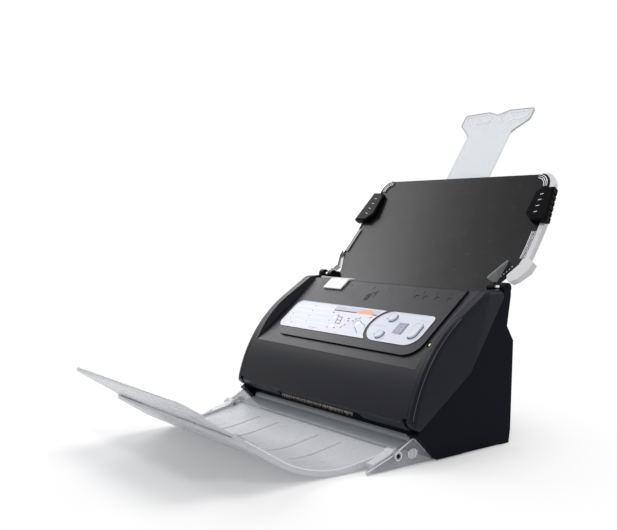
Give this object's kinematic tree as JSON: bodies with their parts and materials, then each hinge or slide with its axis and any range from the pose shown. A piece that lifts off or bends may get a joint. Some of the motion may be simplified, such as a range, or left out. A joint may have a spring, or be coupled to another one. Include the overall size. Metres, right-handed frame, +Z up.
{
  "type": "sheet-fed document scanner",
  "caption": "Desktop sheet-fed document scanner with a leaning paper chute, sunk control panel, opening front cover and sliding output tray.",
  "frame": {"origin": "centre of the bounding box in plan, on the surface that the rubber feet stand on", "axes": "+X to the scanner's right, +Y to its back, +Z up; the tray reaches to -Y and the chute to +Y"},
  "size_m": [0.2808, 0.4392, 0.3068],
  "materials": {
    "dark_shell": "satin near-black plastic with a slight blue tone",
    "rail_shell": "satin charcoal plastic",
    "black_gloss": "glossy black plastic",
    "inner_black": "fine matt black plastic",
    "label": "pale lilac-grey printed film",
    "keypad": "pale lilac-grey film",
    "button": "pale satin plastic",
    "display": "grey smoked window",
    "led": "green-yellow light pipe",
    "guide": "near-white plastic",
    "chute": "dark grey satin-gloss plastic",
    "silver": "silver-grey plastic",
    "clear": null,
    "frosted": "frosted translucent plastic",
    "rubber": "black rubber",
    "roller_rubber": "blue-grey roller rubber",
    "steel": "bright steel",
    "frame_steel": "pressed zinc-plated steel",
    "gear": "natural acetal plastic",
    "board": "green circuit board",
    "bristle": "golden-grey conductive bristles",
    "scan_glass": "clear glass"
  },
  "bodies": {
    "base": {"base_housing": "dark_shell", "bottom_plate": "inner_black", "rear_cover": "dark_shell", "rubber_feet": "rubber", "case_screws": "steel", "circuit_board": "board", "power_jack": "black_gloss", "usb_port": "steel", "paper_deck": "inner_black", "side_frame_right": "frame_steel", "side_frame_left": "frame_steel", "drive_motor": "steel", "rear_scan_bar": "inner_black", "rear_scan_glass": "scan_glass", "cover_hinge_pins": "steel", "chute_hinge_pins": "steel", "tray_bracket_right": "clear", "tray_bracket_left": "clear", "tray_apron": "clear"},
    "cover": {"cover_shell": "dark_shell", "cover_side_right": "rail_shell", "cover_side_left": "rail_shell", "cover_deck": "inner_black", "panel_label": "label", "keypad_plate": "keypad", "keypad_board": "board", "display_window": "display", "power_led": "led", "front_scan_bar": "inner_black", "front_scan_glass": "scan_glass", "separation_pad": "rubber", "exit_brush": "bristle"},
    "up_key": {"up_button": "button"},
    "down_key": {"down_button": "button"},
    "scan_key": {"scan_button": "button"},
    "latch": {"release_latch": "black_gloss"},
    "guide": {"width_guide": "guide"},
    "feed_roller": {"feed_shaft": "steel", "feed_tyre": "roller_rubber", "feed_gear": "gear"},
    "exit_roller": {"exit_shaft": "steel", "exit_tyres": "roller_rubber", "exit_gear": "gear"},
    "idler_low": {"idler_gear_low": "gear"},
    "idler_middle": {"idler_gear_middle": "gear"},
    "idler_high": {"idler_gear_high": "gear"},
    "pinion": {"motor_pinion": "gear"},
    "pinch": {"pinch_rollers": "inner_black"},
    "chute": {"chute_plate": "chute", "chute_edging_right": "silver", "chute_edging_left": "silver", "chute_grip_right": "black_gloss", "chute_grip_left": "black_gloss", "side_fence": "guide"},
    "extension": {"chute_extension": "clear"},
    "tray": {"tray_main": "frosted"},
    "leaf": {"tray_leaf": "frosted"}
  },
  "joints": [
    {"name": "cover_hinge", "type": "hinge", "parent": "base", "child": "cover", "pos_m": [0, -0.02418, 0.03045], "axis": [1, 0, 0], "range_deg": [0, 45]},
    {"name": "chute_hinge", "type": "hinge", "parent": "base", "child": "chute", "pos_m": [0, 0.07996, 0.1355], "axis": [-1, 0, 0], "range_deg": [-100, 0]},
    {"name": "chute_extension_slide", "type": "slide", "parent": "chute", "child": "extension", "axis": [0, 0.5736, 0.8192], "range_m": [-0.066, 0]},
    {"name": "tray_hinge", "type": "hinge", "parent": "base", "child": "tray", "pos_m": [0, -0.04454, 0.0103], "axis": [1, 0, 0], "range_deg": [-85, 0]},
    {"name": "tray_leaf_slide", "type": "slide", "parent": "tray", "child": "leaf", "axis": [0, -0.8358, 0.549], "range_m": [-0.027, 0]},
    {"name": "guide_slide", "type": "slide", "parent": "cover", "child": "guide", "axis": [1, 0, 0], "range_m": [0, 0.15]},
    {"name": "up_press", "type": "slide", "parent": "cover", "child": "up_key", "axis": [0, 0.6157, -0.788], "range_m": [0, 0.0012], "stiffness_N_per_m": 400, "springref_m": -0.0004},
    {"name": "down_press", "type": "slide", "parent": "cover", "child": "down_key", "axis": [0, 0.6157, -0.788], "range_m": [0, 0.0012], "stiffness_N_per_m": 400, "springref_m": -0.0004},
    {"name": "scan_press", "type": "slide", "parent": "cover", "child": "scan_key", "axis": [0, 0.6157, -0.788], "range_m": [0, 0.0012], "stiffness_N_per_m": 400, "springref_m": -0.0004},
    {"name": "latch_rock", "type": "hinge", "parent": "cover", "child": "latch", "pos_m": [0, 0.06816, 0.124], "axis": [1, 0, 0], "range_deg": [0, 12], "stiffness_Nm_per_rad": 0.03},
    {"name": "feed_spin", "type": "hinge", "parent": "base", "child": "feed_roller", "pos_m": [0, 0.06302, 0.08573], "axis": [1, 0, 0], "continuous": true},
    {"name": "exit_spin", "type": "hinge", "parent": "base", "child": "exit_roller", "pos_m": [0, 0.00837, 0.03628], "axis": [1, 0, 0], "continuous": true},
    {"name": "idler_high_spin", "type": "hinge", "parent": "base", "child": "idler_high", "pos_m": [0, 0.05452, 0.0675], "axis": [1, 0, 0], "continuous": true},
    {"name": "idler_middle_spin", "type": "hinge", "parent": "base", "child": "idler_middle", "pos_m": [0, 0.0461, 0.04704], "axis": [1, 0, 0], "continuous": true},
    {"name": "idler_low_spin", "type": "hinge", "parent": "base", "child": "idler_low", "pos_m": [0, 0.0249, 0.04071], "axis": [1, 0, 0], "continuous": true},
    {"name": "pinion_spin", "type": "hinge", "parent": "base", "child": "pinion", "pos_m": [0, 0.02933, 0.02417], "axis": [1, 0, 0], "continuous": true},
    {"name": "pinch_spin", "type": "hinge", "parent": "cover", "child": "pinch", "pos_m": [0, 0.00074, 0.04717], "axis": [1, 0, 0], "continuous": true}
  ],
  "couplings": [
    {"joint": "idler_high_spin", "follows": "feed_spin", "ratio": -0.81818},
    {"joint": "idler_middle_spin", "follows": "feed_spin", "ratio": 0.81818},
    {"joint": "idler_low_spin", "follows": "feed_spin", "ratio": -0.81818},
    {"joint": "exit_spin", "follows": "feed_spin", "ratio": 1.5},
    {"joint": "pinion_spin", "follows": "feed_spin", "ratio": 1.5},
    {"joint": "pinch_spin", "follows": "feed_spin", "ratio": -2.4}
  ]
}
